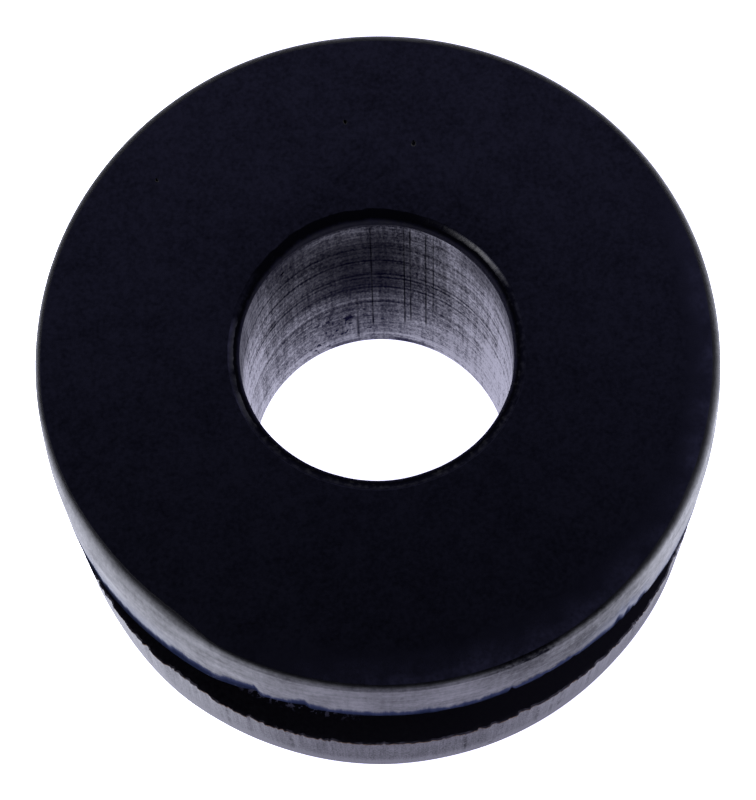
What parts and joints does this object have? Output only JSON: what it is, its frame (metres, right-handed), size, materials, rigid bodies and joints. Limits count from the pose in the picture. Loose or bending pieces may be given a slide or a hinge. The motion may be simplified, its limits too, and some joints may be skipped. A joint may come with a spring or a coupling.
{
  "type": "rubber grommet",
  "caption": "Round black rubber grommet with two equal flanges, a panel groove between them and a plain cable bore through the middle.",
  "frame": {"origin": "centre of the bore in the lower flange's flat face, which the grommet stands on", "axes": "+Z along the bore axis, up from the lower flange to the upper flange; the shape is round about Z, so X and Y are free, and -Y faces the viewer"},
  "size_m": [0.024, 0.024, 0.0132],
  "materials": {
    "rubber": "smooth moulded faces with a soft satin sheen, fine turning lines in the bore and fine axial striations on the rims"
  },
  "bodies": {
    "root": {"grommet": "rubber"}
  },
  "joints": []
}
